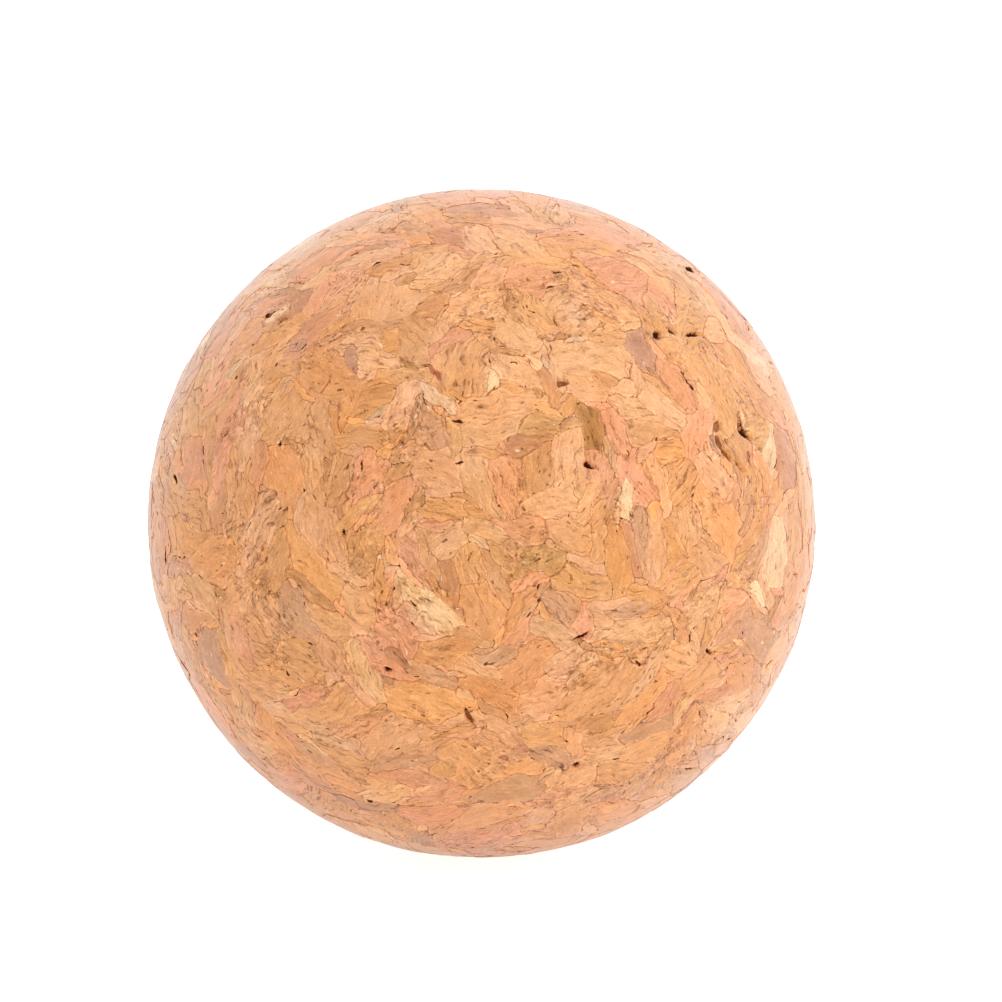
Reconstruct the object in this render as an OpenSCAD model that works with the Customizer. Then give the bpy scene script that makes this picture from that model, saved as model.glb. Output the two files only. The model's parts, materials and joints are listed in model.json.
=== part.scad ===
// Cork massage ball: a turned ball of cork agglomerate. Coarse and medium cork granules sit flush in
// pockets of the bonded matrix (fine cork and polyurethane binder), which is also the whole inside.
// Origin at the ball's centre, +Z up, and the best face looks to -Y and slightly up.

/* [Ball] */
// Diameter over the ground surface
ball_d = 65; // [60:1:80]
// How far the best face leans up from the horizon, in degrees
face_lean = 14; // [0:1:40]

/* [Granules] */
// Lattice points that granules grow from, before the face layout takes its share
lattice_n = 390; // [150:5:420]
// How far each lattice point strays, as a share of the spacing
scatter = 0.40; // [0:0.02:0.45]
// Mean half size of a granule, between its half length and half width
half_size = 2.3; // [1.6:0.05:2.8]
// Mean length over width
slender = 1.75; // [1.2:0.05:2.4]
// Deepest granule, below the surface
depth_max = 2.2; // [1:0.1:2.6]
// Half length times half width from which a granule counts as coarse
coarse_from = 4.8; // [3:0.1:7]
// Number that starts the scatter, so that another gives another ball
start_number = 11; // [1:1:99]

/* [Bond] */
// Glue film between a granule and its pocket
film = 0.06; // [0.03:0.01:0.12]
// Matrix left between neighbouring pockets at the surface
web = 0.66; // [0.5:0.02:1.2]

/* [Hidden] */
ball_r = ball_d / 2;
ball_facets = 180;
pitch = sqrt(4 * PI * ball_r * ball_r / lattice_n);  // spacing of the lattice points
golden_angle = 180 * (3 - sqrt(5));
draws = 7;                // random numbers for each lattice point
size_spread = 0.34;       // most a grown granule's size strays, as a share
slender_spread = 0.35;    // the same for its length over width
rare_size = 0.8;          // size of cream and umber granules against the rest
face_clearance = 1.55;    // kept clear round a face granule, in units of its ellipse
neighbour_reach = 2.3 * pitch;
never = 99;               // stands for a distance out of reach
corners = 11;             // of a granule's outline
min_reach = 1;            // granules with an outline nearer their centre than this are dropped
min_corner = 0.3;         // least distance of a plug's corner from its axis
depth_base = 0.5;         // depth = depth_base + depth_per_width * half width
depth_per_width = 0.95;
proud = 0.8;              // plug above the tangent plane, to cut clear of the surface

TAN = 0; SAND = 1; AMBER = 2; ROSE = 3; PEACH = 4; BROWN = 5; GREY = 6; CREAM = 7; UMBER = 8;
SHADES = [[0.86, 0.62, 0.40], [0.95, 0.76, 0.52], [0.91, 0.60, 0.33], [0.88, 0.60, 0.46],
          [0.94, 0.68, 0.47], [0.72, 0.53, 0.34], [0.69, 0.56, 0.46], [0.97, 0.84, 0.64],
          [0.55, 0.31, 0.24]];
MATRIX_SHADE = [0.80, 0.57, 0.37];
SHARES = [0.23, 0.40, 0.57, 0.71, 0.83, 0.91, 0.96, 0.98, 1];  // running share of each kind

NODES = ["bonded_matrix",
         "coarse_tan_granules", "medium_tan_granules", "coarse_sand_granules", "medium_sand_granules",
         "coarse_amber_granules", "medium_amber_granules", "coarse_rose_granules", "medium_rose_granules",
         "coarse_peach_granules", "medium_peach_granules", "coarse_brown_granules", "medium_brown_granules",
         "coarse_grey_granules", "medium_grey_granules", "cream_granules", "umber_granules"];
node = "all";

// Layout of the best face on a ball of FACE_BALL_D: millimetres right and up from its centre,
// half length, half width, turn of the long side from the horizontal, kind
FACE_BALL_D = 65;
FACE = [
  [-10.1, 11.6, 2.1, 1.7, 0, AMBER], [-7.1, 11.0, 2.9, 1.1, 75, SAND], [-10.5, 7.8, 3.5, 1.3, -8, TAN],
  [-4.0, 5.4, 2.4, 1.8, -10, PEACH], [0.3, 8.9, 2.7, 1.2, 12, SAND], [-0.2, 4.0, 3.4, 1.2, -65, SAND],
  [2.8, 4.0, 3.6, 1.0, -74, ROSE], [10.4, 9.1, 2.5, 1.4, -65, BROWN], [9.9, 13.2, 2.6, 1.7, 0, PEACH],
  [5.3, 4.4, 2.8, 1.4, -85, BROWN], [7.3, 1.7, 2.9, 1.4, -10, SAND], [11.6, 4.9, 2.0, 1.5, 80, ROSE],
  [12.7, -3.2, 3.8, 1.5, -86, AMBER], [8.7, -0.9, 2.2, 1.1, -30, TAN], [5.6, -3.1, 1.8, 1.3, 10, BROWN],
  [2.6, -3.9, 2.3, 0.9, -42, BROWN], [-6.3, -3.6, 2.2, 1.2, -50, ROSE], [-11.2, -3.6, 2.4, 2.1, 30, TAN],
  [-3.0, -1.8, 2.0, 1.7, 0, SAND], [0.3, -8.7, 2.9, 2.1, -75, AMBER], [-5.3, -8.4, 3.1, 1.1, -40, CREAM],
  [-8.2, -10.4, 2.2, 1.4, -55, ROSE], [-12.5, -8.0, 2.6, 1.5, -28, PEACH], [-3.3, -12.3, 2.6, 1.2, 0, AMBER],
  [7.3, -7.4, 2.3, 1.0, -50, GREY], [14.1, -8.0, 2.1, 0.9, -3, GREY], [15.5, -10.4, 3.1, 1.6, -8, SAND],
  [13.1, -12.5, 1.5, 1.2, 70, AMBER], [28.7, -2.5, 3.0, 2.1, 70, CREAM], [18.9, -13.3, 2.3, 1.3, -25, PEACH],
  [17.7, -17.4, 1.8, 1.6, 0, ROSE], [22.4, -3.6, 2.8, 2.0, -10, TAN], [28.5, -9.2, 2.5, 1.3, 55, ROSE],
  [23.4, -13.8, 1.9, 1.3, -70, AMBER], [24.7, -16.8, 2.8, 1.3, -25, SAND], [6.2, -16.6, 3.0, 1.9, -5, PEACH],
  [5.7, -20.3, 2.8, 1.5, -15, TAN], [3.1, -25.9, 3.0, 2.0, -10, GREY], [-10.6, 25.4, 3.3, 1.4, -5, SAND],
  [-10.1, 27.8, 2.0, 1.0, 0, ROSE], [-3.7, 24.8, 2.6, 2.4, 60, SAND], [-24.9, 18.4, 2.6, 2.2, 50, ROSE],
  [-25.6, 13.7, 2.4, 1.5, 60, ROSE], [-21.7, 9.9, 3.6, 1.4, 85, SAND], [-5.4, 20.2, 2.2, 1.7, 60, BROWN],
  [-0.7, 20.5, 2.8, 1.8, 20, PEACH], [-1.5, 14.7, 3.0, 2.2, 80, TAN], [15.7, 16.8, 2.0, 1.4, -50, GREY],
  [18.7, 14.1, 2.4, 1.2, -75, PEACH], [4.8, 28.7, 2.6, 1.6, -5, SAND], [12.0, 27.5, 3.4, 1.7, -15, ROSE],
  [17.3, 25.0, 2.9, 1.7, -15, SAND], [11.5, 21.9, 3.0, 2.1, -20, PEACH], [17.2, 21.7, 2.4, 1.3, -45, ROSE],
  [24.8, 8.1, 2.2, 1.6, -55, BROWN], [26.8, 11.6, 2.2, 1.2, 5, ROSE], [17.7, 11.3, 2.7, 1.2, -22, SAND],
  [19.0, 6.4, 2.1, 1.5, -5, AMBER], [-25.6, -12.8, 2.5, 2.2, 75, GREY], [-17.6, -14.5, 2.9, 1.9, 10, TAN],
  [-19.1, -18.0, 1.8, 1.2, 0, SAND], [-15.2, -22.5, 2.4, 1.1, -5, GREY], [-13.5, -26.9, 1.8, 0.9, -50, GREY],
  [-31.0, -1.6, 2.4, 1.8, 80, ROSE], [-20.8, -9.2, 2.8, 1.8, -50, TAN], [-6.1, -16.8, 3.6, 2.6, -15, AMBER]];

function unit(v) = v / norm(v);
function arc(angle) = angle * PI / 180 * ball_r;  // length over the surface

// A granule is [direction from the centre, long direction, wide direction,
// half length, half width, kind]
function out_of(g) = g[0];
function long_of(g) = g[1];
function wide_of(g) = g[2];
function half_l(g) = g[3];
function half_w(g) = g[4];
function kind_of(g) = g[5];

// The best face
right = [1, 0, 0];
up = [0, sin(face_lean), cos(face_lean)];
front = [0, -cos(face_lean), sin(face_lean)];
function tangent(v, out) = unit(v - out * (v * out));  // v laid into the plane tangent at out
function laid(row) =
  let (scale_up = ball_d / FACE_BALL_D,
       x = row[0] * scale_up / ball_r,
       y = row[1] * scale_up / ball_r,
       out = unit(x * right + y * up + sqrt(1 - x * x - y * y) * front),
       long = tangent(cos(row[4]) * right + sin(row[4]) * up, out))
  [out, long, cross(out, long), row[2] * scale_up, row[3] * scale_up, row[5]];
face = [for (row = FACE) laid(row)];

// The rest of the ball: a golden-angle lattice, strayed, with a size, a turn and a kind for each point
strays = rands(-1, 1, lattice_n * draws, start_number);
function stray(i, n) = strays[draws * i + n];
function lattice_point(i) =
  let (z = 1 - (2 * i + 1) / lattice_n,
       r = sqrt(1 - z * z),
       a = golden_angle * i,
       reach = scatter * pitch / ball_r)
  unit([r * cos(a) + reach * stray(i, 0), r * sin(a) + reach * stray(i, 1), z + reach * stray(i, 2)]);
function pick_kind(x, i = 0) = i >= UMBER || x < SHARES[i] ? i : pick_kind(x, i + 1);
function grown(i) =
  let (out = lattice_point(i),
       east = unit(cross(abs(out[2]) < 0.9 ? [0, 0, 1] : right, out)),
       north = cross(out, east),
       turn = 180 * stray(i, 5),
       long = cos(turn) * east + sin(turn) * north,
       kind = pick_kind((stray(i, 6) + 1) / 2),
       size = (kind >= CREAM ? rare_size : 1) * (1 + size_spread * stray(i, 3)),
       ratio = slender * (1 + slender_spread * stray(i, 4)))
  [out, long, cross(out, long), half_size * size * sqrt(ratio), half_size * size / sqrt(ratio), kind];

// How far direction p lies from a granule's centre, in units of its own ellipse
function ellipse_distance(g, p) =
  norm([p * long_of(g) / half_l(g), p * wide_of(g) / half_w(g)]) * ball_r
  + (p * out_of(g) < 0.5 ? never : 0);
function crowds_face(p) = len([for (g = face) if (ellipse_distance(g, p) < face_clearance) 1]) > 0;
candidates = concat(face,
  [for (i = [0:lattice_n - 1]) let (g = grown(i)) if (!crowds_face(out_of(g))) g]);

// Neighbour n in g's tangent plane: its two axes, each over its half size,
// then its centre along each axis, in the same units
function beside(g, n) =
  let (axis = unit([long_of(n) * out_of(g) * 0 + long_of(n) * long_of(g), long_of(n) * wide_of(g)]),
       side = [-axis[1], axis[0]],
       centre = [out_of(n) * long_of(g), out_of(n) * wide_of(g)] * ball_r / (out_of(n) * out_of(g)))
  [axis / half_l(n), side / half_w(n), (centre * axis) / half_l(n), (centre * side) / half_w(n)];
function neighbours(g, all) =
  [for (n = all) if (n != g && norm(out_of(n) - out_of(g)) * ball_r < neighbour_reach) beside(g, n)];

// Distance along dir to where neighbour b is as close as the granule itself, each by its own
// ellipse: the least positive root of a t^2 - 2 half_b t + c = 0
function meets(own, b, dir) =
  let (x = dir * b[0],
       y = dir * b[1],
       a = x * x + y * y - own,
       half_b = x * b[2] + y * b[3],
       c = b[2] * b[2] + b[3] * b[3],
       h = half_b * half_b - a * c)
  h <= 0 ? never :
  let (p = (half_b - sqrt(h)) / a, q = (half_b + sqrt(h)) / a)
  p > 0 && q > 0 ? min(p, q) : max(p, q) > 0 ? max(p, q) : never;

// Outline of g: halfway to its neighbours, and never more than half a web past its own ellipse
function ray(g, around, dir) =
  let (own = pow(dir[0] / half_l(g), 2) + pow(dir[1] / half_w(g), 2))
  min(concat([1 / sqrt(own) + web / 2], [for (b = around) meets(own, b, dir)]));
function outline(g, all) =
  let (around = neighbours(g, all))
  [for (k = [0:corners - 1])
    let (a = 360 * k / corners, dir = unit([half_l(g) * cos(a), half_w(g) * sin(a)]))
    dir * ray(g, around, dir)];
function roomy(g) = min([for (p = outline(g, candidates)) norm(p)]) > min_reach;

// The sphere's own seam runs over the back from pole to pole, and no pocket is cut across it
function off_seam(g) =
  let (out = out_of(g),
       half_x = norm([long_of(g)[0] * half_l(g), wide_of(g)[0] * half_w(g)]))
  out[1] > 0 ? arc(abs(asin(out[0]))) > half_x + web : arc(acos(abs(out[2]))) > half_l(g) + web;
kept = [for (g = candidates) if (off_seam(g) && roomy(g)) g];  // the rest are left to the matrix

function depth(g) = min(depth_max, depth_base + depth_per_width * half_w(g));
function in_node(g, kind, coarse) =
  kind_of(g) == kind && (coarse == undef || (half_l(g) * half_w(g) >= coarse_from) == coarse);

// A straight-sided plug on g's outline, drawn in by gap all round, from deep below the surface
// to above it
module plug(g, gap, deep) {
  base = out_of(g) * (ball_r - deep);
  multmatrix(concat(
    [for (i = [0:2]) [long_of(g)[i], wide_of(g)[i], out_of(g)[i], base[i]]], [[0, 0, 0, 1]]))
    linear_extrude(deep + proud)
      polygon([for (p = outline(g, kept)) unit(p) * max(min_corner, norm(p) - gap)]);
}

module ball() { rotate([0, 0, 90]) sphere(ball_r, $fn = ball_facets); }

// Granules of one kind, ground flush with the ball; both sizes where coarse is left out
module granules(kind, coarse = undef)
  color(SHADES[kind])
    for (g = kept)
      if (in_node(g, kind, coarse))
        intersection() {
          plug(g, web / 2 + film, depth(g));
          ball();
        }

// Fine cork and binder, with a pocket for each granule
module bonded_matrix()
  color(MATRIX_SHADE)
    difference() {
      ball();
      for (g = kept) plug(g, web / 2, depth(g) + film);
    }

function on(name) = node == "all" || node == name;
if (on("bonded_matrix")) bonded_matrix();
if (on("coarse_tan_granules")) granules(TAN, true);
if (on("medium_tan_granules")) granules(TAN, false);
if (on("coarse_sand_granules")) granules(SAND, true);
if (on("medium_sand_granules")) granules(SAND, false);
if (on("coarse_amber_granules")) granules(AMBER, true);
if (on("medium_amber_granules")) granules(AMBER, false);
if (on("coarse_rose_granules")) granules(ROSE, true);
if (on("medium_rose_granules")) granules(ROSE, false);
if (on("coarse_peach_granules")) granules(PEACH, true);
if (on("medium_peach_granules")) granules(PEACH, false);
if (on("coarse_brown_granules")) granules(BROWN, true);
if (on("medium_brown_granules")) granules(BROWN, false);
if (on("coarse_grey_granules")) granules(GREY, true);
if (on("medium_grey_granules")) granules(GREY, false);
if (on("cream_granules")) granules(CREAM);
if (on("umber_granules")) granules(UMBER);
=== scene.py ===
# The looks of a cork massage ball, centred on the origin with +Z up. The best face looks along -Y
# and a little upwards, towards the camera. Every granule is its own closed chip, cut by its
# neighbours and ground to the ball, and smaller chips fill the gaps between the CAD granules.
# Lengths are in mm until a mesh is made; points on the ball are unit directions.
import json
import math
from dataclasses import dataclass
from typing import NamedTuple

import bpy
import numpy as np
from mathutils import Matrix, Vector


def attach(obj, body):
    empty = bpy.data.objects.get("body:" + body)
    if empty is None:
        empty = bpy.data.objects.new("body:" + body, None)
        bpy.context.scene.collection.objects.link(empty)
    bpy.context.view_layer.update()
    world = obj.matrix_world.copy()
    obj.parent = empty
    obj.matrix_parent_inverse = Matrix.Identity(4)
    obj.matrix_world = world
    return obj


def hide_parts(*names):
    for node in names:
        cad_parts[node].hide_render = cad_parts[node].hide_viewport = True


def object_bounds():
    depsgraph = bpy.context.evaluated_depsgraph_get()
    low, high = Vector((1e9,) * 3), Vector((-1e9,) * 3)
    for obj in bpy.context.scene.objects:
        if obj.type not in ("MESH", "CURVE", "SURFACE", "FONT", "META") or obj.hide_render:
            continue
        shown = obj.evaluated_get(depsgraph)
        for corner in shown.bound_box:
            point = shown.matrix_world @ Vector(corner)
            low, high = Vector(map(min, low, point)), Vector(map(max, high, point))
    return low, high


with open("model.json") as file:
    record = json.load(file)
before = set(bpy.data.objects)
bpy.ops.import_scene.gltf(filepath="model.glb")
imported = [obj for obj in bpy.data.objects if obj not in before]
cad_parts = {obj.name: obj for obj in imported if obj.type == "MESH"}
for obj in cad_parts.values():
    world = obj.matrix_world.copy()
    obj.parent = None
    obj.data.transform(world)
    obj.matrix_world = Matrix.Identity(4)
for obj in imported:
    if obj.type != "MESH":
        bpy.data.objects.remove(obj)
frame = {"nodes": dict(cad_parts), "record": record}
box_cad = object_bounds()
rng = np.random.default_rng(20)

MM = 0.001
R = (box_cad[1].x - box_cad[0].x) / 2 / MM          # ball radius
FACE_R = 32.5                                       # nominal radius, for the tables of the best face
GRID = 9                       # icosphere subdivisions of the surface grid
PATCHES = 5                                         # subdivisions of the coarse grid for lookups
CORE = 7                                            # subdivisions of the ball under the chips
FAR = 99                                            # a span that belongs to no granule

# the best face and the camera sit LEAN above the horizon
LEAN = math.radians(14)
RIGHT = np.array([1.0, 0.0, 0.0])
UP = np.array([0.0, math.sin(LEAN), math.cos(LEAN)])
FRONT = np.array([0.0, -math.cos(LEAN), math.sin(LEAN)])

# share of each kind among the filling chips
SHARE = {"tan": 0.23, "sand": 0.17, "amber": 0.16, "rose": 0.13, "peach": 0.13, "brown": 0.08,
         "grey": 0.05, "cream": 0.03, "umber": 0.02}
KINDS = list(SHARE)
# shown colour of each kind under white light, 0 to 255
SHADE = {
    "tan": (232, 168, 113), "sand": (241, 180, 128), "amber": (235, 165, 106),
    "rose": (237, 165, 120), "peach": (240, 174, 124), "brown": (223, 159, 107),
    "grey": (219, 162, 118), "cream": (248, 199, 151), "umber": (213, 148, 104),
    "plum": (205, 150, 119), "olive": (212, 157, 103), "bark": (192, 134, 80),
    "rust": (188, 98, 68), "bond": (150, 96, 56),
}

# CAD granules of the best face that stand out from their kind: mm right, mm up, shade
STANDOUTS = [(10.4, 9.1, "bark"), (15.7, 16.8, "plum"), (18.7, 14.1, "rose"),
             (5.6, -3.1, "olive"), (-15.2, -22.5, "grey")]
# small chips on the best face: mm right, mm up, half length, half width, turn in degrees, kind
SMALL_CHIPS = [
    (19.7, -6.0, 0.9, 0.5, 20, "plum"), (25.5, -10.3, 0.7, 0.4, 0, "plum"),
    (-15.0, 14.5, 1.35, 0.36, 85, "rust"), (-12.4, 15.7, 1.4, 0.85, 80, "plum"),
    (24.2, 8.0, 1.4, 0.30, -55, "bark"), (22.6, 8.6, 0.8, 0.24, -70, "plum"),
    (25.8, 6.6, 0.9, 0.22, -70, "rust"), (25.0, 10.2, 1.3, 0.22, -45, "cream"),
    (-4.5, 9.2, 1.8, 0.7, -60, "grey"), (-4.2, 11.8, 2.2, 0.5, -50, "cream"),
    (-4.0, 14.5, 1.2, 0.22, -67, "rust"), (-5.9, 15.6, 1.6, 0.35, -60, "bark"),
    (-19.1, 20.5, 0.9, 0.5, 0, "cream"), (14.1, 3.5, 2.5, 0.6, 85, "cream"),
    (10.7, 14.9, 2.7, 0.8, -25, "brown"), (5.1, 8.9, 1.6, 1.2, 0, "olive"),
    (-16.7, 17.3, 1.4, 0.8, 0, "plum"), (-8.5, 17.3, 1.7, 1.2, 0, "amber"),
    (3.4, -22.0, 1.5, 0.9, 0, "umber"), (-13.3, -26.6, 1.3, 0.55, -40, "plum"),
    (4.5, -29.6, 0.8, 0.5, 0, "amber"), (28.0, 7.3, 2.4, 0.9, 50, "cream"),
]
# holes on the best face: mm right, mm up, half length, half width, turn in degrees
HOLES = [
    (20.1, 24.6, 1.5, 0.48, 51), (16.9, 18.3, 0.95, 0.52, 60), (20.4, 18.3, 1.15, 0.28, 15),
    (9.6, -10.9, 0.95, 0.18, 30), (-9.1, -14.1, 0.55, 0.32, -20), (-16.7, -20.6, 0.8, 0.20, -15),
    (-1.3, -18.5, 1.0, 0.16, -80), (21.9, -12.4, 0.7, 0.14, -30), (9.2, -23.3, 0.6, 0.4, 30),
    (10.3, 5.5, 0.7, 0.16, 10), (24.9, 10.0, 1.15, 0.26, -53), (22.7, 9.3, 0.60, 0.24, -80),
    (22.9, 7.8, 0.95, 0.36, -70), (23.7, 6.5, 0.95, 0.28, -50), (24.7, 5.6, 0.70, 0.24, -40),
    (25.6, 8.6, 0.90, 0.26, -65), (-29.6, 4.3, 0.8, 0.20, -60), (-30.6, -3.4, 0.8, 0.22, 75),
    (-12.2, 26.2, 0.6, 0.22, -30), (-24.8, -12.6, 0.5, 0.18, -50), (7.6, 13.4, 0.38, 0.18, 80),
]
# rounds of filling chips: mean half size, tries, least span from a neighbour, length over width
FILLS = [
    (1.9, 3000, 0.86, (1.6, 3.2)), (1.5, 7000, 0.82, (2.0, 4.5)), (1.15, 9000, 0.80, (2.2, 5.5)),
    (0.88, 14000, 0.80, (2.2, 6.0)), (0.66, 14000, 0.84, (2.0, 6.0)),
    (0.50, 9000, 0.94, (1.8, 5.0)), (0.38, 5000, 1.06, (1.3, 3.0)),
]


def linear(shade):
    """Linear colour of a shown colour, 0 to 255."""
    c = np.asarray(shade, float) / 255
    return np.where(c <= 0.04045, c / 12.92, ((c + 0.055) / 1.055) ** 2.4)


def unit(v):
    return v / np.linalg.norm(v, axis=-1, keepdims=True)


def on_face(right, up):
    """Direction of a place on the best face."""
    x, y = right / FACE_R, up / FACE_R
    return unit(x * RIGHT + y * UP + math.sqrt(1 - x * x - y * y) * FRONT)


def turned(degrees):
    """Direction across the best face, turned from right towards up."""
    t = math.radians(degrees)
    return math.cos(t) * RIGHT + math.sin(t) * UP


class Field:
    """A smooth random field: a sum of waves, about -1.5 to 1.5, with features of a size in mm."""

    def __init__(self, size, count=28):
        pull = 2 * math.pi / (size * 2.6)
        waves = unit(rng.normal(size=(count, 3))) * pull * rng.uniform(0.55, 1.45, (count, 1))
        self.waves = waves.astype(np.float32)
        self.phases = rng.uniform(0, 2 * math.pi, count).astype(np.float32)
        self.count = count

    def __call__(self, p):
        p = np.asarray(p, np.float32)
        flat = p.reshape(-1, 3)
        out = np.empty(len(flat), np.float32)
        step = 200000
        for i in range(0, len(flat), step):
            out[i:i + step] = np.cos(flat[i:i + step] @ self.waves.T + self.phases).sum(1)
        return (out * math.sqrt(2 / self.count)).reshape(p.shape[:-1])


# how far borders wander at each feature size, one field for each axis
WANDER = [(amount, [Field(size) for _ in range(3)])
          for size, amount in ((5.0, 0.50), (1.5, 0.17), (0.55, 0.085))]
broad_relief = Field(9.0)
mid_relief = Field(2.6)
fine_relief = Field(0.9)
seam_field = Field(1.6)


def warped(p):
    """Directions moved a little by smooth noise, so that borders between granules wander."""
    q = p * R
    d = np.stack([sum(amount * fields[i](q) for amount, fields in WANDER) for i in range(3)], -1)
    return unit(q + d).astype(np.float32)


# ---------------------------------------------------------------- granules
@dataclass
class Seed:
    """One granule, nearly an ellipse on the ball, and the CAD node it belongs to."""
    middle: np.ndarray
    along: np.ndarray
    half_length: float
    half_width: float
    bend: float
    taper: float
    kind: str
    node: str


class Granules(NamedTuple):
    """Many granules as arrays."""
    middle: np.ndarray
    along: np.ndarray
    across: np.ndarray
    half_length: np.ndarray
    half_width: np.ndarray
    bend: np.ndarray
    taper: np.ndarray


seeds = []


def granules():
    def column(key):
        return np.array([getattr(seed, key) for seed in seeds], np.float32)

    middle, along = column("middle"), column("along")
    along = unit(along - middle * (along * middle).sum(-1, keepdims=True))
    return Granules(middle, along, np.cross(middle, along).astype(np.float32),
                    column("half_length"), column("half_width"), column("bend"), column("taper"))


def islands(obj):
    """Triangles of each separate solid in a CAD node, in mm."""
    me = obj.data
    co = np.zeros(len(me.vertices) * 3, np.float32)
    me.vertices.foreach_get("co", co)
    co = co.reshape(-1, 3).astype(float) / MM
    me.calc_loop_triangles()
    tri = np.zeros(len(me.loop_triangles) * 3, np.int32)
    me.loop_triangles.foreach_get("vertices", tri)
    seen = {}                                       # vertices in the same 1/500 mm are welded
    weld = [seen.setdefault(tuple(np.round(c * 500).astype(int)), i) for i, c in enumerate(co)]
    tri = np.array(weld)[tri].reshape(-1, 3)
    root = np.arange(len(co))

    def find(i):
        while root[i] != i:
            root[i] = root[root[i]]
            i = root[i]
        return i

    for t in tri:
        r = find(t[0])
        root[find(t[1])] = r
        root[find(t[2])] = r
    label = np.array([find(t[0]) for t in tri])
    for name in np.unique(label):
        yield co[tri[label == name]]


def cad_seed(tri, kind, node):
    """Adds the granule that fits the ground face of a CAD solid, if it has one."""
    top = tri[(np.linalg.norm(tri, axis=2) > R - 0.05).all(1)]
    if len(top) < 3:
        return
    area = np.linalg.norm(np.cross(top[:, 1] - top[:, 0], top[:, 2] - top[:, 0]), axis=1)
    mids = top.mean(1)
    centre = (mids * area[:, None]).sum(0) / area.sum()
    # second moments of the triangles give the axes
    pts = np.concatenate([top.reshape(-1, 3), mids]) - centre
    weight = np.concatenate([np.repeat(area, 3) / 12, area * 0.75])
    val, vec = np.linalg.eigh((pts * weight[:, None]).T @ pts / weight.sum())
    a, b = 2 * math.sqrt(val[2]) + 0.1, 2 * math.sqrt(val[1]) + 0.1
    bend = rng.normal() * 0.16 * b / (a * a)
    taper = rng.normal() * 0.14
    seeds.append(Seed(centre / np.linalg.norm(centre), vec[:, 2], a, b, bend, taper, kind, node))


def nearest(p, middles, k):
    """Indices of the k middles nearest to each direction."""
    out = np.empty((len(p), k), np.int32)
    for i in range(0, len(p), 4000):
        d = -(p[i:i + 4000].astype(np.float32) @ middles.astype(np.float32).T)
        out[i:i + 4000] = np.argpartition(d, k, axis=1)[:, :k]
    return out


def width_at(x, g, n):
    """Half width of granules n at x mm along them."""
    return g.half_width[n] * np.clip(1 + g.taper[n] * x / g.half_length[n], 0.6, 1.5)


def place_in(p, g, n):
    """Place of directions p in granules n: mm along, mm across (bent back straight), and the
    span, which is 1 at the edge of the granule's ellipse."""
    x = np.einsum("...i,...i", p, g.along[n]) * R
    y = np.einsum("...i,...i", p, g.across[n]) * R
    y = y - g.bend[n] * (x * x - 0.25 * g.half_length[n] * g.half_length[n])
    span = np.sqrt((x / g.half_length[n]) ** 2 + (y / width_at(x, g, n)) ** 2)
    this_side = np.einsum("...i,...i", p, g.middle[n]) >= 0.5
    return x, y, np.where(this_side, span, np.float32(FAR))


def fill(size, tries, gap, slimness):
    """Adds chips at random places where they keep clear of the granules and of each other."""
    neighbours, rim_points = 16, 10
    g = granules()
    middle = unit(rng.normal(size=(tries, 3)))
    near = nearest(middle, g.middle, neighbours)
    cosines = np.einsum("ijk,ik->ij", g.middle[near], middle)
    closest = near[np.arange(tries), cosines.argmax(1)]
    along = g.along[closest] * rng.choice([-1, 1], tries)[:, None]   # they lie along neighbours
    along = unit(along - middle * (along * middle).sum(1, keepdims=True))
    turn = np.radians(rng.normal(size=tries) * 24)[:, None]
    along = np.cos(turn) * along + np.sin(turn) * np.cross(middle, along)
    across = np.cross(middle, along)
    ratio = rng.uniform(*slimness, tries)
    mean = size * rng.uniform(0.85, 1.15, tries)
    a, b = mean * np.sqrt(ratio), mean / np.sqrt(ratio)

    # points round the rim and the middle, and their least span from the granules
    th = np.arange(rim_points) * 2 * math.pi / rim_points
    rim = middle[:, None] * R + (np.cos(th)[None, :, None] * a[:, None, None] * along[:, None]
                                 + np.sin(th)[None, :, None] * b[:, None, None] * across[:, None])
    rim = unit(np.concatenate([rim, middle[:, None] * R], 1))
    span = np.full(rim.shape[:2], float(FAR))
    for j in range(neighbours):
        n = np.broadcast_to(near[:, j][:, None], rim.shape[:2])
        span = np.minimum(span, place_in(rim, g, n)[2])

    tried = Granules(middle, along, across, a, b, np.zeros(tries), np.zeros(tries))
    kept = []
    for i in np.where((span.min(1) > gap) & (span[:, -1] > 1.1))[0]:
        if kept:
            close = np.array(kept)
            close = close[(middle[close] @ middle[i]) > math.cos(4.5 * size / R)]
            if len(close):
                shape = (rim_points + 1, len(close))
                others = np.broadcast_to(close[None], shape)
                if place_in(rim[i][:, None], tried, others)[2].min() < gap:
                    continue
                if place_in(rim[close], tried, np.full(shape[::-1], i))[2].min() < gap:
                    continue
        kept.append(i)
    for i in kept:
        kind = KINDS[rng.choice(len(KINDS), p=np.array(list(SHARE.values())))]
        bend = rng.normal() * 0.22 * b[i] / a[i] ** 2
        taper = rng.normal() * 0.16
        seeds.append(Seed(middle[i], along[i], a[i], b[i], bend, taper, kind, "bonded_matrix"))


for node_name in sorted(frame["nodes"]):
    if node_name != "bonded_matrix":
        node_kind = next(k for k in KINDS if k in node_name.split("_"))
        for solid in islands(frame["nodes"][node_name]):
            cad_seed(solid, node_kind, node_name)
for right, up, kind in STANDOUTS:
    cosines = np.array([seed.middle for seed in seeds]) @ on_face(right, up)
    seeds[int(cosines.argmax())].kind = kind
for right, up, a, b, turn, kind in SMALL_CHIPS:
    seeds.append(Seed(on_face(right, up), turned(turn), a, b, 0.0, 0.0, kind, "bonded_matrix"))
for fill_round in FILLS:
    fill(*fill_round)
G = granules()
N = len(seeds)


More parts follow.
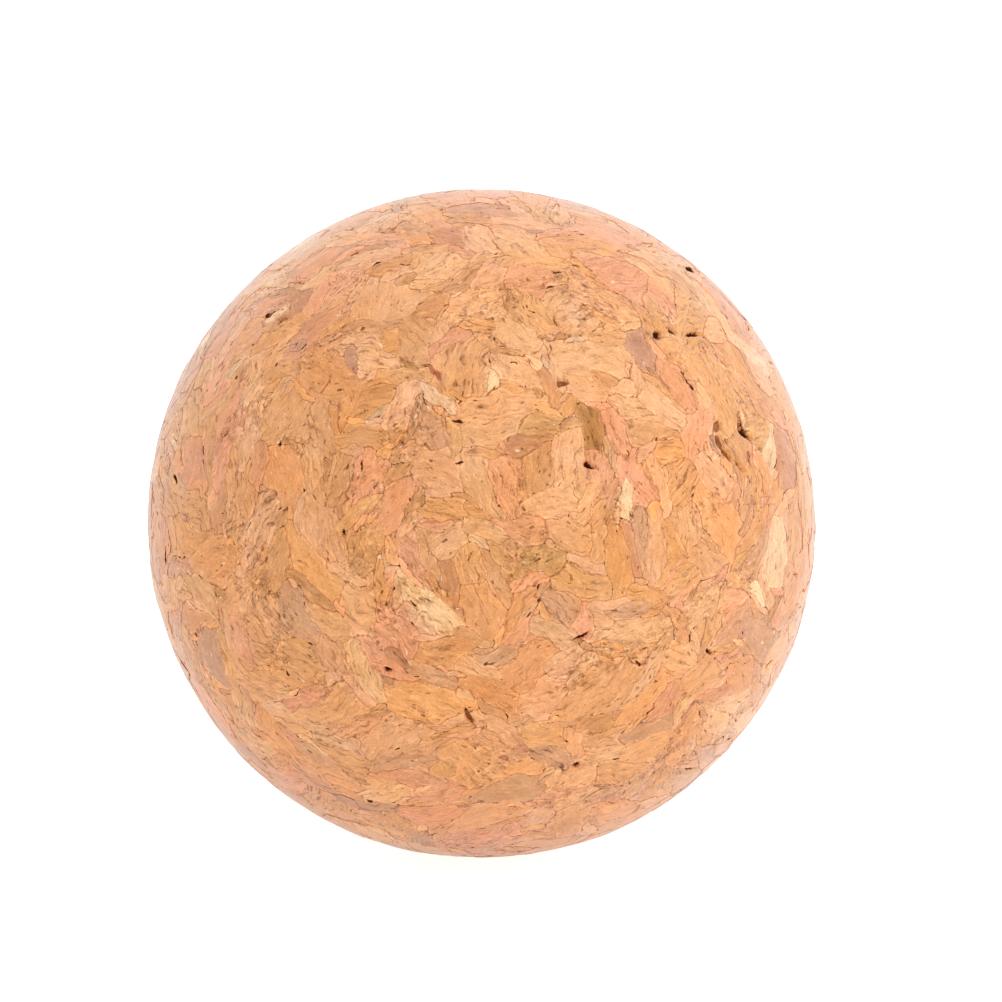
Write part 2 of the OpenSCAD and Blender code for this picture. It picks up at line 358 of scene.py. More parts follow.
# ---------------------------------------------------------------- surface grid and its owners
def icosphere(subdivisions):
    """Directions and triangles of an icosphere."""
    bpy.ops.mesh.primitive_ico_sphere_add(subdivisions=subdivisions, radius=1)
    o = bpy.context.object
    co = np.zeros(len(o.data.vertices) * 3, np.float32)
    o.data.vertices.foreach_get("co", co)
    tri = np.zeros(len(o.data.polygons) * 3, np.int32)
    o.data.polygons.foreach_get("vertices", tri)
    bpy.data.objects.remove(o)
    return unit(co.reshape(-1, 3)).astype(np.float32), tri.reshape(-1, 3)


def two_smallest_spans():
    """For each grid point the granule with the smallest span and the next, and both spans."""
    candidates = nearest(patches, G.middle, 44)
    found = [np.empty(V, t) for t in (np.int32, np.int32, np.float32, np.float32)]
    first, next_one, span1, span2 = found
    step = 16000
    for i in range(0, V, step):
        part = slice(i, i + step)
        n = candidates[(P[part] @ patches.T).argmax(1)]
        d = place_in(Q[part][:, None], G, n)[2]
        r = np.arange(len(n))
        j = d.argmin(1)
        first[part], span1[part] = n[r, j], d[r, j]
        d[r, j] = 999
        j = d.argmin(1)
        next_one[part], span2[part] = n[r, j], d[r, j]
    return found


def slope(p, n):
    """Gradient of granule n's span at p, per mm."""
    x, y, d = place_in(p, G, n)
    d = np.maximum(d, 0.05)
    wide = width_at(x, G, n)
    gx = x / G.half_length[n] ** 2 / d - y / wide ** 2 / d * 2 * G.bend[n] * x
    gy = y / wide ** 2 / d
    return gx[:, None] * G.along[n] + gy[:, None] * G.across[n]


P, TRI = icosphere(GRID)
Q = warped(P)
V = len(P)
patches, _ = icosphere(PATCHES)
own, second, D1, D2 = two_smallest_spans()
steepness = np.linalg.norm(slope(Q, second) - slope(Q, own), axis=1)
border_mm = (D2 - D1) / np.maximum(steepness, 0.05)

# triangles inside one granule stay; the others are cut, once for each granule they touch
owners = own[TRI]
whole = (owners[:, 0] == owners[:, 1]) & (owners[:, 1] == owners[:, 2])
whole_tri, whole_granule = TRI[whole], owners[whole][:, 0]
shared_tri, shared_own = TRI[~whole], owners[~whole]
pieces = []
for k in range(3):
    g = shared_own[:, k]
    first = np.ones(len(g), bool)
    for j in range(k):
        first &= shared_own[:, j] != g
    pieces.append((shared_tri[first], g[first]))
cut_tri, cut_granule = (np.concatenate(column) for column in zip(*pieces))

# how far each corner lies inside the granule, as a difference of spans; negative is outside
depth = np.empty(cut_tri.shape, np.float32)
for k in range(3):
    v = cut_tri[:, k]
    mine = own[v] == cut_granule
    depth[:, k] = np.where(mine, D2[v] - D1[v], D1[v] - place_in(Q[v], G, cut_granule)[2])
depth = np.where(own[cut_tri] == cut_granule[:, None],
                 np.maximum(depth, 1e-5), np.minimum(depth, -1e-5))
inside = depth > 0
inside_count = inside.sum(1)


def roll(rows, start):
    """Turns each row of three so that its start column comes first."""
    columns = [np.take_along_axis(rows, ((start + j) % 3)[:, None], 1)[:, 0] for j in range(3)]
    return np.stack(columns, 1)


def cut_case(chosen, odd):
    """Corners, depths and granule of the chosen cuts, with the odd corner first."""
    start = odd[chosen].argmax(1)
    return roll(cut_tri[chosen], start), roll(depth[chosen], start), cut_granule[chosen]


def crossing(case, inner, outer):
    """Border points between two corners: ends in index order, part of the way, granule."""
    tri, deep, granule = case
    a, b = tri[:, inner], tri[:, outer]
    t = deep[:, inner] / (deep[:, inner] - deep[:, outer])
    t = np.where(a < b, t, 1 - t)
    return np.minimum(a, b).astype(np.int64), np.maximum(a, b).astype(np.int64), t, granule


tips = cut_case(inside_count == 1, inside)          # the corner inside comes first
quads = cut_case(inside_count == 2, ~inside)        # the corner outside comes first
crossings = [crossing(tips, 0, 1), crossing(tips, 0, 2),
             crossing(quads, 1, 0), crossing(quads, 2, 0)]
end_a, end_b, part_way, granule_of = (np.concatenate(column) for column in zip(*crossings))
_, once, inverse = np.unique((end_a * V + end_b) * 4096 + granule_of,
                             return_index=True, return_inverse=True)
end_a, end_b, granule_of = end_a[once], end_b[once], granule_of[once]
part_way = np.clip(part_way[once], 0.02, 0.98).astype(np.float32)[:, None]
tip_count, quad_count = len(tips[0]), len(quads[0])
tip_a, tip_b, quad_a, quad_b = np.split(V + inverse,
                                        np.cumsum([tip_count, tip_count, quad_count]))


def with_border(values):
    """Directions of the grid, then of the border points."""
    border = unit(values[end_a] * (1 - part_way) + values[end_b] * part_way)
    return np.concatenate([values, border])


# all surface points: direction, warped direction, granule, other granule, mm from the border
PA, QA = with_border(P), with_border(Q)
GA = np.concatenate([own, granule_of])
OTHER = np.concatenate([second, np.where(own[end_a] == granule_of, own[end_b], own[end_a])])
RIM = np.concatenate([np.clip(border_mm, 0, 2), np.zeros(len(end_a), np.float32)])

# ---------------------------------------------------------------- relief
X, Y, _ = place_in(PA, G, GA)
surface = PA * R
lift = rng.normal(size=N).astype(np.float32) * 0.013
tilt = rng.normal(size=(N, 2)).astype(np.float32) * 0.006


def pair(k):
    """A number from 0 to 1 for each pair of touching granules."""
    m, n = np.minimum(GA, OTHER).astype(np.int64), np.maximum(GA, OTHER).astype(np.int64)
    mixed = (m * 7919 + n * 104729 + k * 15485863) * 2654435761
    return (mixed % 4294967296 / 4294967296.0).astype(np.float32)


# most borders are closed, some show as a line, more of them round tiny granules
tiny = np.clip(1.15 - G.half_length * G.half_width / 0.9, 0, 1)
open_seam = np.clip((pair(1) - 0.66 + 0.30 * np.maximum(tiny[GA], tiny[OTHER])) / 0.40, 0, 1)
groove = 0.002 + 0.034 * open_seam * np.clip(seam_field(surface) + 0.5, 0, 1.5)
edge = np.clip(1 - RIM / 0.16, 0, 1)
height = (0.045 * broad_relief(surface) + 0.020 * mid_relief(surface)
          + 0.011 * fine_relief(surface)
          + lift[GA] + tilt[GA, 0] * X + tilt[GA, 1] * Y - groove * edge ** 1.5)

# strips of crumbs, wider where several granules meet
zone_field = Field(3.4)
ZONE = np.clip((zone_field(surface) + 1.1 * np.exp(-RIM / 0.40) - 1.05) / 0.40, 0, 1)


def dents():
    """Pores, torn spots and the holes: middle, along, half length, half width, depth, and
    whether the pit value keeps rising towards the middle."""
    count, at_borders, torn_count = 620, 0.8, 26
    at = rng.choice(np.where(RIM[:V] < 0.12)[0], int(count * at_borders), replace=False)
    at = np.concatenate([at, rng.choice(V, count - len(at), replace=False)])
    along = G.along[own[at]] + 0.35 * rng.normal(size=(count, 3)).astype(np.float32)
    half_width = 0.075 + 0.06 * rng.uniform(size=count) ** 2
    half_length = half_width * rng.uniform(1.2, 4.5, count)
    deep = np.full(count, 0.10)
    torn = rng.choice(count, torn_count, replace=False)
    half_length[torn] = rng.uniform(0.30, 0.60, torn_count)
    half_width[torn] = rng.uniform(0.10, 0.19, torn_count)
    deep[torn] = 0.40

    holes = [on_face(right, up) for right, up, *_ in HOLES]
    middle = np.concatenate([Q[at], [warped(hole[None])[0] for hole in holes]])
    along = np.concatenate([along, [turned(turn) for *_, turn in HOLES]])
    along = unit(along - middle * (along * middle).sum(1, keepdims=True))
    half_length = np.concatenate([half_length, [a * 0.90 for _, _, a, _, _ in HOLES]])
    half_width = np.concatenate([half_width, [max(b * 0.85, 0.24) for _, _, _, b, _ in HOLES]])
    rising = np.concatenate([deep > 0.3, np.full(len(HOLES), True)])
    # holes are shallow near the outline
    deep = np.concatenate([deep, [0.55 if hole @ FRONT > 0.45 else 0.10 for hole in holes]])
    return middle, along, half_length, half_width, deep, rising


def press_dents():
    """Sinks the dents into the height and returns the pit value of every point."""
    middle, along, half_length, half_width, deep, rising = dents()
    across = np.cross(middle, along)
    pit = np.zeros(len(PA), np.float32)
    points = QA.astype(np.float32)
    step = 50000
    patch_of = np.concatenate([(points[i:i + step] @ patches.T).argmax(1)
                               for i in range(0, len(points), step)])
    order = np.argsort(patch_of, kind="stable")
    start = np.searchsorted(patch_of[order], np.arange(len(patches) + 1))
    near = nearest(middle, patches, 9)
    for i in range(len(middle)):
        idx = np.concatenate([order[start[k]:start[k + 1]] for k in near[i]])
        d = points[idx]
        x, y = d @ along[i] * R / half_length[i], d @ across[i] * R / half_width[i]
        reach = 1.6 - np.hypot(x, y)
        z = np.clip(reach, 0, 1).astype(np.float32)
        pit[idx] = np.maximum(pit[idx], np.clip(reach, 0, 1.6) if rising[i] else z)
        height[idx] -= deep[i] * z * z * (3 - 2 * z)
    return pit


PIT = press_dents()
positions = PA * (R + height)[:, None]

# ---------------------------------------------------------------- tone and grain of the granules
tone = np.array([linear(SHADE[seed.kind]) for seed in seeds])
tone = tone.mean(0) * 0.10 + tone * 0.90
tone = (tone - 0.035) * np.exp(rng.normal(size=(N, 1)) * (0.040 + 0.10 * tiny[:, None])
                               + rng.normal(size=(N, 3)) * [0.006, 0.015, 0.038])
bleed = 0.05 + 0.42 * pair(2) ** 2                  # mm that two granules' colours run together
mixed = (0.5 * np.exp(-RIM / bleed))[:, None]
TONE = tone[GA] * (1 - mixed) + tone[OTHER] * mixed
shift = rng.uniform(-400, 400, (N, 3))              # each granule's own place in the textures
trait = rng.uniform(0, 1, (N, 3))
GRAIN = np.stack([X, Y, np.zeros_like(X)], 1) + shift[GA]

# ---------------------------------------------------------------- meshes, one for each CAD node
node_of = np.array([seed.node for seed in seeds])
core_points, core_tri = icosphere(CORE)
RIM_WALL, RIM_CORE = -1.0, -0.5                     # rim values that mark points off the surface
ATTRIBUTES = {"tone": ("FLOAT_COLOR", "color"), "grain": ("FLOAT_VECTOR", "vector"),
              "trait": ("FLOAT_VECTOR", "vector"), "rim": ("FLOAT", "value"),
              "pit": ("FLOAT", "value"), "seam": ("FLOAT", "value"), "zone": ("FLOAT", "value")}


def floor_radius(n):
    """Distance of the underside of granules n from the ball's centre."""
    return (R - np.clip(0.7 * G.half_width[n], 0.35, 0.9))[:, None]


def chips(name):
    """Vertices, quads, triangles and attributes of the chips that belong to one node."""
    chosen = node_of == name
    in_tips, in_quads = chosen[tips[2]], chosen[quads[2]]
    t, ta, tb = tips[0][in_tips], tip_a[in_tips], tip_b[in_tips]
    q, qa, qb = quads[0][in_quads], quad_a[in_quads], quad_b[in_quads]
    inner_tri = whole_tri[chosen[whole_granule]]
    tip_tri = np.stack([t[:, 0], ta, tb], 1)
    quad = np.stack([q[:, 1], q[:, 2], qb, qa], 1)
    border = np.concatenate([np.stack([ta, tb], 1), np.stack([qb, qa], 1)])
    border_granule = np.concatenate([tips[2][in_tips], quads[2][in_quads]])
    rim_points, rim_index = np.unique(border, return_inverse=True)
    rim_index = rim_index.reshape(border.shape)
    used = np.unique(np.concatenate([inner_tri.ravel(), tip_tri.ravel(), quad.ravel()]))
    new = np.full(len(PA), -1, np.int64)
    new[used] = np.arange(len(used))

    # the wall goes down from the border, and a fan to one middle point closes the underside
    of_rim = GA[rim_points]
    chip_ids, chip_index = np.unique(of_rim, return_inverse=True)
    count = np.bincount(chip_index)
    middle = np.stack([np.bincount(chip_index, PA[rim_points][:, k]) / count
                       for k in range(3)], 1)
    low = len(used) + rim_index
    centre = len(used) + len(rim_points) + np.searchsorted(chip_ids, border_granule)
    wall = np.stack([new[border[:, 1]], new[border[:, 0]], low[:, 0], low[:, 1]], 1)
    cap = np.stack([low[:, 1], low[:, 0], centre], 1)
    points = np.concatenate([positions[used], PA[rim_points] * floor_radius(of_rim),
                             unit(middle) * floor_radius(chip_ids)])

    under = len(rim_points) + len(chip_ids)
    values = {
        "tone": np.concatenate([TONE[used], tone[of_rim], tone[chip_ids]]),
        "grain": np.concatenate([GRAIN[used], GRAIN[rim_points] + [0, 0, 0.8], shift[chip_ids]]),
        "trait": trait[np.concatenate([GA[used], of_rim, chip_ids])],
        "rim": np.concatenate([RIM[used], np.full(under, RIM_WALL)]),
        "pit": np.concatenate([PIT[used], np.zeros(under)]),
        "seam": np.concatenate([open_seam[used], np.ones(under)]),
        "zone": np.concatenate([ZONE[used], ZONE[rim_points], np.zeros(len(chip_ids))]),
    }
    return (points, np.concatenate([new[quad], wall]),
            np.concatenate([new[inner_tri], new[tip_tri], cap]), values)


def add_core(points, quad, tri, values):
    """Adds the bumpy ball that shows in the gaps between the chips."""
    m = len(core_points)
    core = {"tone": np.tile(linear(SHADE["bond"]), (m, 1)), "grain": core_points * R,
            "trait": np.full((m, 3), 0.5), "rim": np.full(m, RIM_CORE), "pit": np.zeros(m),
            "seam": np.ones(m), "zone": np.ones(m)}
    radius = R - 0.75 + 0.08 * mid_relief(core_points * R)
    return (np.concatenate([points, core_points * radius[:, None]]), quad,
            np.concatenate([tri, core_tri + len(points)]),
            {key: np.concatenate([values[key], core[key]]) for key in values})


def build(name, points, quad, tri, values, mat):
    me = bpy.data.meshes.new(name)
    me.vertices.add(len(points))
    me.vertices.foreach_set("co", (points * MM).astype(np.float32).ravel())
    loops = np.concatenate([quad.ravel(), tri.ravel()]).astype(np.int32)
    starts = np.concatenate([np.arange(len(quad)) * 4, len(quad) * 4 + np.arange(len(tri)) * 3])
    me.loops.add(len(loops))
    me.loops.foreach_set("vertex_index", loops)
    me.polygons.add(len(starts))
    me.polygons.foreach_set("loop_start", starts.astype(np.int32))
    top = values["rim"] >= 0                        # the ground face is smooth, the rest is flat
    me.polygons.foreach_set("use_smooth", np.concatenate([top[quad].all(1), top[tri].all(1)]))
    me.update(calc_edges=True)
    alpha = np.ones((len(points), 1))
    values = {**values, "tone": np.concatenate([values["tone"], alpha], 1)}
    for key, (kind, field) in ATTRIBUTES.items():
        a = me.attributes.new(key, kind, "POINT")
        a.data.foreach_set(field, values[key].astype(np.float32).ravel())
    me.materials.append(mat)
    ob = bpy.data.objects.new(name, me)
    bpy.context.scene.collection.objects.link(ob)
    return ob


# ---------------------------------------------------------------- shader node helpers
FALL = (1.0, 0.0)


class Nodes:
    """Adds shader nodes to a tree. An input is given as a value or as another node's output."""

    def __init__(self, tree):
        self.tree = tree

    def put(self, value, socket):
        if isinstance(value, bpy.types.NodeSocket):
            self.tree.links.new(value, socket)
        else:
            socket.default_value = value

    def add(self, kind, inputs, **settings):
        node = self.tree.nodes.new("ShaderNode" + kind)
        for key, value in settings.items():
            setattr(node, key, value)
        for key, value in inputs.items():
            self.put(value, node.inputs[key])
        return node

    def attribute(self, name, output="Fac"):
        return self.add("Attribute", {}, attribute_name=name).outputs[output]

    def maths(self, operation, *operands, clamp=False):
        inputs = dict(enumerate(operands))
        return self.add("Math", inputs, operation=operation, use_clamp=clamp).outputs[0]

    def fold(self, operation, first, *others):
        for other in others:
            first = self.maths(operation, first, other)
        return first

    def plus(self, *values):
        return self.fold("ADD", *values)

    def largest(self, *values):
        return self.fold("MAXIMUM", *values)

    def times(self, *values, gain=None):
        return self.fold("MULTIPLY", *values, *(() if gain is None else (gain,)))

    def line(self, value, gain, base):
        """value * gain + base"""
        return self.maths("MULTIPLY_ADD", value, gain, base)

    def swing(self, value, gain):
        """Noise moved to lie about 0, then scaled."""
        return self.times(self.maths("SUBTRACT", value, 0.5), gain)

    def tailed(self, value, calm, sharp):
        """Noise about 0 with a calm middle and strong ends."""
        d = self.maths("SUBTRACT", value, 0.5)
        return self.times(d, self.line(self.maths("ABSOLUTE", d), gain=sharp, base=calm))

    def fade(self, value, over, to=(0.0, 1.0), way="SMOOTHSTEP"):
        """Maps the range `over` to the range `to`."""
        inputs = dict(enumerate((value, *over, *to)))
        return self.add("MapRange", inputs, interpolation_type=way).outputs[0]

    def vector(self, operation, *operands):
        return self.add("VectorMath", dict(enumerate(operands)), operation=operation).outputs[0]

    def dot(self, vector, fixed):
        inputs = {0: vector, 1: Vector(fixed)}
        return self.add("VectorMath", inputs, operation="DOT_PRODUCT").outputs["Value"]

    def noise(self, vector, scale, detail=2.0, rough=0.5, output="Fac"):
        inputs = {"Vector": vector, "Scale": scale, "Detail": detail, "Roughness": rough}
        return self.add("TexNoise", inputs).outputs[output]

    def shifted(self, vector, scale, amount):
        """A vector moved by smooth noise."""
        colour = self.noise(vector, scale=scale, output="Color")
        centred = self.vector("SUBTRACT", colour, (0.5, 0.5, 0.5))
        return self.vector("MULTIPLY_ADD", centred, amount, vector)

    def cells(self, vector, scale, feature="F1"):
        inputs = {"Vector": vector, "Scale": scale}
        return self.add("TexVoronoi", inputs, feature=feature).outputs

    def mix(self, factor, a, b, data_type="RGBA", **settings):
        inputs = {"Factor": factor, "A": a, "B": b}
        return self.add("Mix", inputs, data_type=data_type, **settings).outputs["Result"]


# ---------------------------------------------------------------- the cork material
def opaque(shade):
    return (*linear(shade), 1)


def growth_rings(n, bent, clearness, spacing):
    """Darker lines along the granule, clear in some and absent in others, and their strength."""
    across = n.add("SeparateXYZ", {0: bent}).outputs[1]
    wander = n.noise(n.vector("MULTIPLY", bent, (0.32, 0.9, 0.9)), scale=1.0, rough=0.55)
    phase = n.plus(n.times(across, n.line(spacing, gain=1.0, base=1.0)),
                   n.times(wander, gain=2.6))
    wave = n.line(n.maths("COSINE", n.times(phase, gain=6.2832)), gain=0.5, base=0.5)
    sharpness, clear_power = 7.0, 1.6
    ring = n.maths("POWER", wave, sharpness)
    patchy = n.noise(n.vector("MULTIPLY", bent, (0.5, 1.3, 1.0)), scale=1.0, rough=0.6)
    strength = n.line(n.maths("POWER", clearness, clear_power), gain=0.50, base=0.05)
    return ring, n.times(strength, n.fade(patchy, over=(0.42, 0.60)))


def layer_lines(n, bent, tornness):
    """Thin wavy lines where the cork was torn along its layers."""
    layer = n.noise(n.vector("MULTIPLY", bent, (0.42, 1.5, 1.0)), scale=1.0, rough=0.58)
    off = n.maths("ABSOLUTE", n.maths("SUBTRACT", layer, 0.5))
    patchy = n.noise(n.vector("MULTIPLY", bent, (0.6, 1.0, 1.0)), scale=1.0, detail=1.0)
    strength = n.times(n.fade(patchy, over=(0.46, 0.60)), n.line(tornness, gain=0.20, base=0.20))
    return n.times(n.fade(off, over=(0.0, 0.020), to=FALL), strength, gain=-1.0) if False else \
        n.times(n.times(n.fade(off, over=(0.0, 0.020), to=FALL), strength), gain=-1.0)


def crumbs(n, mm, crumby, speck):
    """Crumbs between the big granules: each with its own tone and a dark line round it."""
    size = 1.9
    colour = n.add("SeparateColor", {0: n.cells(mm, scale=size)["Color"]}).outputs[0]
    edge = n.cells(mm, scale=size, feature="DISTANCE_TO_EDGE")["Distance"]
    ragged = n.plus(edge, n.swing(speck, gain=0.25))
    outline = n.times(n.fade(ragged, over=(0.02, 0.11), to=FALL), gain=-0.24)
    return n.times(n.plus(n.swing(colour, gain=0.40), outline), crumby)


def flecks(n, bent, speck, more, scale, share, radii, shove=0.0, seed=0.0):
    """Ragged spots in a share of the cells, longer along the grain than across it."""
    lie = n.vector("MULTIPLY", bent, (0.55, 1.30, 1.0))
    moved = n.vector("ADD", lie, (seed + shove, seed + shove * 0.4, seed - shove))
    cell = n.cells(n.vector("MULTIPLY", moved, (scale, scale, scale)), scale=1.0)
    chance, bigness, _ = n.add("SeparateColor", {0: cell["Color"]}).outputs
    keep = n.fade(n.plus(chance, more), over=(1.0 - share - 0.01, 1.0 - share + 0.01))
    size = n.line(bigness, gain=radii[1] - radii[0], base=radii[0])
    reach = n.plus(n.maths("DIVIDE", cell["Distance"], size), n.swing(speck, gain=2.4))
    return n.times(keep, n.fade(reach, over=(0.65, 1.15), to=FALL))


def cork(name):
    mat = bpy.data.materials.new(name)
    mat.use_nodes = True
    mat.node_tree.nodes.clear()
    n = Nodes(mat.node_tree)
    tone_in, chip = n.attribute("tone", "Color"), n.attribute("grain", "Vector")
    rim, pit, seam, zone = (n.attribute(key) for key in ("rim", "pit", "seam", "zone"))
    trait1, trait2, trait3 = n.add("SeparateXYZ", {0: n.attribute("trait", "Vector")}).outputs

    # the granule's own coordinates, bent into slow curves with a small wobble, and the ball's
    bent = n.shifted(chip, scale=0.33, amount=(1.3, 2.3, 0.0))
    bent = n.shifted(bent, scale=1.3, amount=(0.30, 0.42, 0.0))
    place = n.add("TexCoord", {}).outputs["Object"]
    mm = n.shifted(n.vector("MULTIPLY", place, (1000.0, 1000.0, 1000.0)),
                   scale=1.1, amount=(0.5, 0.5, 0.5))

    # soft tone inside a granule, and the fine ground surface
    ring, ring_strength = growth_rings(n, bent, clearness=trait1, spacing=trait2)
    fibre = n.noise(n.vector("MULTIPLY", bent, (0.80, 3.1, 1.5)), scale=1.0, detail=3.0, rough=0.70)
    bands = n.noise(n.vector("MULTIPLY", bent, (0.13, 1.1, 1.0)), scale=1.0, rough=0.55)
    mottle = n.noise(chip, scale=0.7, detail=3.0, rough=0.55)
    speck = n.noise(chip, scale=4.4, detail=3.0, rough=0.75)
    crumby = n.times(zone, n.fade(n.noise(mm, scale=0.8, detail=1.0),
                                  over=(0.36, 0.56), to=(0.3, 1.0)))

    # where granules touch: a thin broken darker line, and here and there a pale lip
    ragged_rim = n.plus(rim, n.swing(speck, gain=0.16))
    broken = n.fade(n.noise(mm, scale=1.1, rough=0.65), over=(0.44, 0.58))
    seam_line = n.times(n.fade(ragged_rim, over=(0.01, 0.13), to=FALL),
                        n.times(broken, n.line(seam, gain=0.78, base=0.22)))
    lip = n.times(n.fade(rim, over=(0.07, 0.16)), n.fade(rim, over=(0.16, 0.36), to=FALL))
    lip_patches = n.fade(n.noise(chip, scale=0.7, detail=1.0), over=(0.45, 0.60))

    # pores: dark flecks, each with a painted highlight beside it, more of them near the borders
    more = n.plus(n.fade(rim, over=(0.05, 0.35), to=(0.13, 0.0)), n.times(crumby, gain=0.20))
    shared = (n, bent, speck, more)
    dark_big = flecks(*shared, scale=1.25, share=0.090, radii=(0.10, 0.25))
    pore_highlight = flecks(*shared, scale=1.25, share=0.090, radii=(0.08, 0.24), shove=0.16)
    dark_small = flecks(*shared, scale=2.3, share=0.080, radii=(0.16, 0.40), seed=57.0)
    pale_small = flecks(*shared, scale=2.0, share=0.070, radii=(0.14, 0.36), seed=91.0)
    ragged = n.plus(pit, n.swing(speck, gain=1.4))
    pore = n.largest(n.times(dark_big, gain=0.85), n.times(dark_small, gain=0.60),
                     n.fade(ragged, over=(0.60, 0.85)))

    # everything that lightens or darkens the granule's tone, with a painted highlight ring round
    # each dent
    light = n.plus(
        n.times(ring, ring_strength, gain=-1.0),
        layer_lines(n, bent, tornness=trait3),
        n.times(n.tailed(fibre, calm=0.20, sharp=5.6), n.line(trait2, gain=0.70, base=0.76)),
        n.swing(bands, gain=n.line(trait1, gain=0.30, base=0.15)),
        n.swing(mottle, gain=0.32),
        n.times(n.tailed(speck, calm=0.20, sharp=5.0), gain=0.88),
        crumbs(n, mm, crumby, speck),
        n.times(lip, lip_patches, gain=0.17),
        # painted highlight: a lighter ring on the edge of each dent
        n.times(n.fade(ragged, over=(0.12, 0.34)), n.fade(ragged, over=(0.34, 0.60), to=FALL),
                gain=0.20))

    # base colour: the lit tone with a slow drift of hue, redder where dark, then each feature
    darkest = 0.25
    level = n.largest(n.plus(1.0, light), darkest)
    colour = n.add("VectorMath", {0: tone_in, 3: level}, operation="SCALE").outputs[0]
    drift = n.mix(n.fade(n.noise(mm, scale=0.28), over=(0.36, 0.64)),
                  a=(0.995, 0.965, 0.90, 1), b=(1.005, 1.035, 1.10, 1))
    colour = n.mix(1.0, colour, drift, blend_type="MULTIPLY")
    redden = -1.5
    colour = n.mix(n.maths("MULTIPLY", light, redden, clamp=True), colour,
                   b=(1.0, 0.82, 0.64, 1), blend_type="MULTIPLY")
    # pale specks, and the painted highlights beside the big pores
    pale = n.largest(n.times(pore_highlight, gain=0.80), n.times(pale_small, gain=0.42))
    # painted shade: the middle of the deep dents and holes goes near black, as in a deep hole
    hole_shade = n.fade(n.plus(pit, n.swing(speck, gain=0.8)), over=(0.80, 1.05), to=(0.0, 0.94))
    off_surface = (-0.25, -0.06)                    # rim values between wall and ground face
    for amount, shade in (
            (pale, (255, 214, 168)),
            (n.times(seam_line, gain=0.60), (158, 68, 16)),
            (n.times(pore, gain=0.88), (102, 42, 10)),
            # painted shade in the holes
            (hole_shade, (50, 26, 16)),
            # painted shade: below the ground face the chip walls and the core turn dark brown, as
            # shade in the gaps between chips
            (n.fade(rim, over=off_surface, to=(0.75, 0.0)), (120, 62, 26))):
        colour = n.mix(amount, colour, opaque(shade))

    # pores, seams and walls have no shine
    dull = n.largest(pore, n.times(seam_line, gain=0.7),
                     n.fade(rim, over=off_surface, to=(0.9, 0.0)))
    bare = n.maths("SUBTRACT", 1.0, dull, clamp=True)
    bumps = n.plus(n.plus(speck, n.times(fibre, gain=0.6)),
                   n.plus(n.times(pore, gain=-1.2), n.times(ring, gain=-0.3)))
    bump = n.add("Bump", {"Strength": 0.35, "Distance": 0.00006, "Height": bumps})
    shader = n.add("BsdfPrincipled", {
        "Base Color": colour,
        "Roughness": n.fade(speck, over=(0.3, 0.7), to=(0.50, 0.64)),
        "IOR": 1.40,
        "Specular IOR Level": n.times(bare, gain=0.30),
        "Sheen Weight": n.times(bare, gain=0.85),
        "Sheen Roughness": 0.35,
        "Sheen Tint": (1.0, 0.93, 0.86, 1),
        "Normal": bump.outputs[0],
    })
    n.add("OutputMaterial", {0: shader.outputs[0]})
    return mat


slots = {p["node"]: p["material_slot"] for p in frame["record"]["subparts"]}
mats = {}
for node in sorted(frame["nodes"]):
    sl = slots[node]
    if sl not in mats:
        mats[sl] = cork(sl)
    mesh_data = chips(node)
    if node == "bonded_matrix":
        mesh_data = add_core(*mesh_data)
    ob = build("cork_" + node, *mesh_data, mats[sl])
    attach(ob, "root")
    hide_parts(node)

# ---------------------------------------------------------------- floor, light, camera (metres)
WHITE = (1, 1, 1, 1)
FLOOR_R = 1.6
FLOOR_GREY = (0.62, 0.62, 0.62, 1)
FLOOR_GLOW = (0.43, 0.86)                           # as it lights the ball, as the camera sees it
AMBIENT = 0.935                                     # light from all round
TENT = (-0.18, 0.31, 0.31)                          # its change towards camera, right and top
FROM_BELOW, FROM_ABOVE = (1.01, 0.99, 0.93, 1), (0.99, 1.015, 1.13, 1)
KEY_AT, KEY_SIZE, KEY_POWER = (0.60, -0.50, 0.80), 0.7, 1.6
CAMERA_AWAY = 1.6
SENSOR = 36                                         # mm
FRAME_WIDTH = 1.498653904                           # picture width over the ball's outline
CAMERA_SHIFT = (0.01956087824, 0.02225548902)       # in picture widths


def studio_floor():
    """A disc under the ball, lit from below like a light table, so it shows almost white."""
    bpy.ops.mesh.primitive_circle_add(vertices=128, radius=FLOOR_R, fill_type="NGON",
                                      location=(0, 0, float(positions[:, 2].min()) * MM))
    floor = bpy.context.object
    floor.name = "studio_floor"
    mat = bpy.data.materials.new("studio_floor")
    mat.use_nodes = True
    n = Nodes(mat.node_tree)
    seen = n.add("LightPath", {}).outputs["Is Camera Ray"]
    glow = n.fade(seen, over=(0.0, 1.0), to=FLOOR_GLOW, way="LINEAR")
    shader = mat.node_tree.nodes["Principled BSDF"]
    for key, value in {"Base Color": FLOOR_GREY, "Roughness": 0.9, "Specular IOR Level": 0.0,
                       "Emission Color": WHITE, "Emission Strength": glow}.items():
        n.put(value, shader.inputs[key])
    floor.data.materials.append(mat)


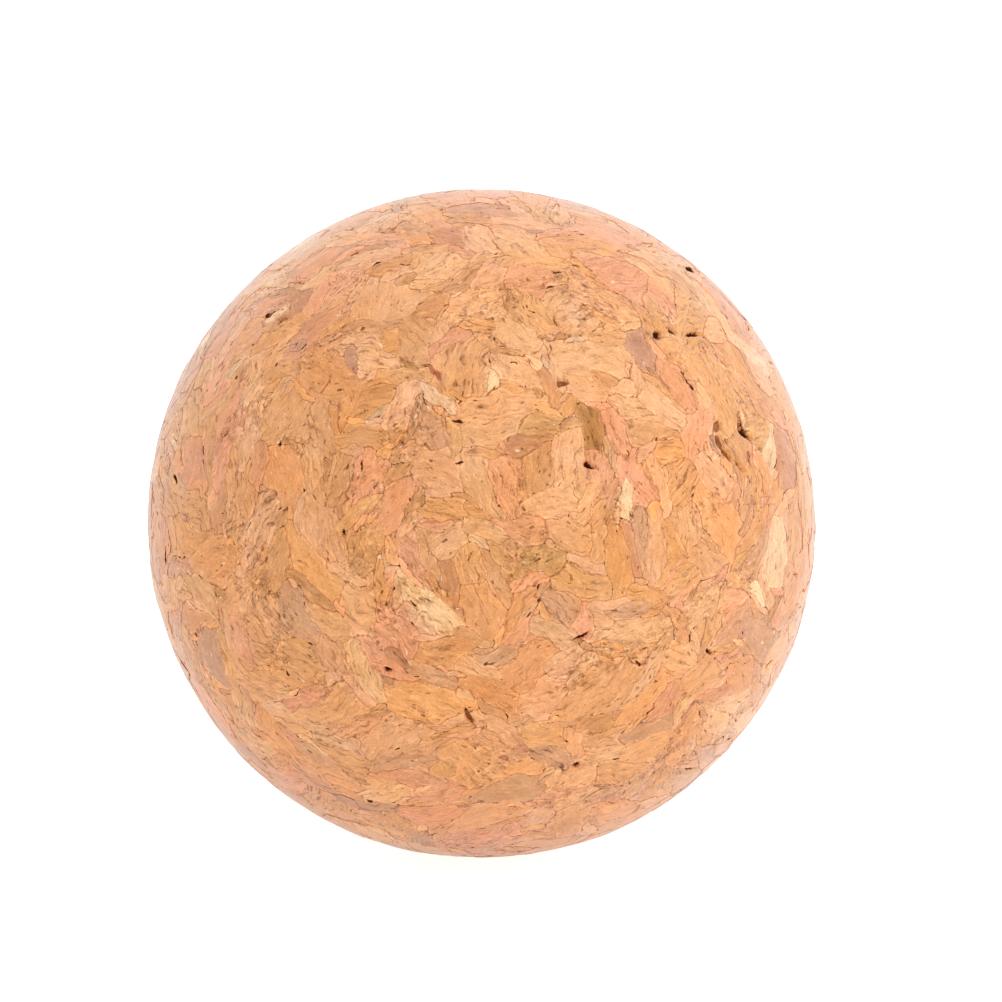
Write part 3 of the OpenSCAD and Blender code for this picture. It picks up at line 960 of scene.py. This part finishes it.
def studio_world():
    """A white tent, brighter behind the ball, on its right and above, and cooler from above."""
    world = bpy.data.worlds.new("studio")
    bpy.context.scene.world = world
    world.use_nodes = True
    n = Nodes(world.node_tree)
    background = world.node_tree.nodes["Background"]
    background.inputs["Color"].default_value = WHITE
    way = n.add("TexCoord", {}).outputs["Generated"]
    seen = n.add("LightPath", {}).outputs["Is Camera Ray"]
    lean = n.dot(way, TENT[0] * FRONT + TENT[1] * RIGHT + TENT[2] * UP)
    tent = n.line(lean, gain=AMBIENT, base=AMBIENT)
    cool = n.fade(n.dot(way, UP), over=(-1.0, 1.0), way="LINEAR")
    hue = n.mix(cool, FROM_BELOW, FROM_ABOVE)
    # the backdrop itself shows pure white
    n.put(n.mix(seen, tent, 1.0, data_type="FLOAT"), background.inputs["Strength"])
    n.put(n.mix(seen, hue, WHITE), background.inputs["Color"])


def turn_to_ball(ob, away):
    """Turns a lamp or camera that stands in the direction `away` to look at the ball."""
    ob.rotation_mode = "QUATERNION"
    ob.rotation_quaternion = (-away).to_track_quat("-Z", "Y")


def key_light():
    """A soft disc lamp in front of the ball, above it and to the right."""
    lamp = bpy.data.lights.new("key", "AREA")
    lamp.shape = "DISK"
    lamp.size = KEY_SIZE
    lamp.energy = KEY_POWER
    ob = bpy.data.objects.new("key", lamp)
    bpy.context.scene.collection.objects.link(ob)
    ob.location = KEY_AT
    turn_to_ball(ob, Vector(KEY_AT))
    ob.visible_camera = False


def camera():
    scene = bpy.context.scene
    data = bpy.data.cameras.new("camera")
    ob = bpy.data.objects.new("camera", data)
    scene.collection.objects.link(ob)
    scene.camera = ob
    ob.location = Vector(FRONT) * CAMERA_AWAY
    turn_to_ball(ob, Vector(FRONT))
    data.sensor_width = SENSOR
    outline = math.asin(R * MM / CAMERA_AWAY)       # half angle of the ball's outline
    data.lens = SENSOR / 2 / (math.tan(outline) * FRAME_WIDTH)
    data.shift_x, data.shift_y = CAMERA_SHIFT
    data.clip_start, data.clip_end = 0.01, 20


studio_floor()
studio_world()
key_light()
bpy.context.scene.view_settings.view_transform = "Standard"
bpy.context.scene.view_settings.look = "None"
camera()
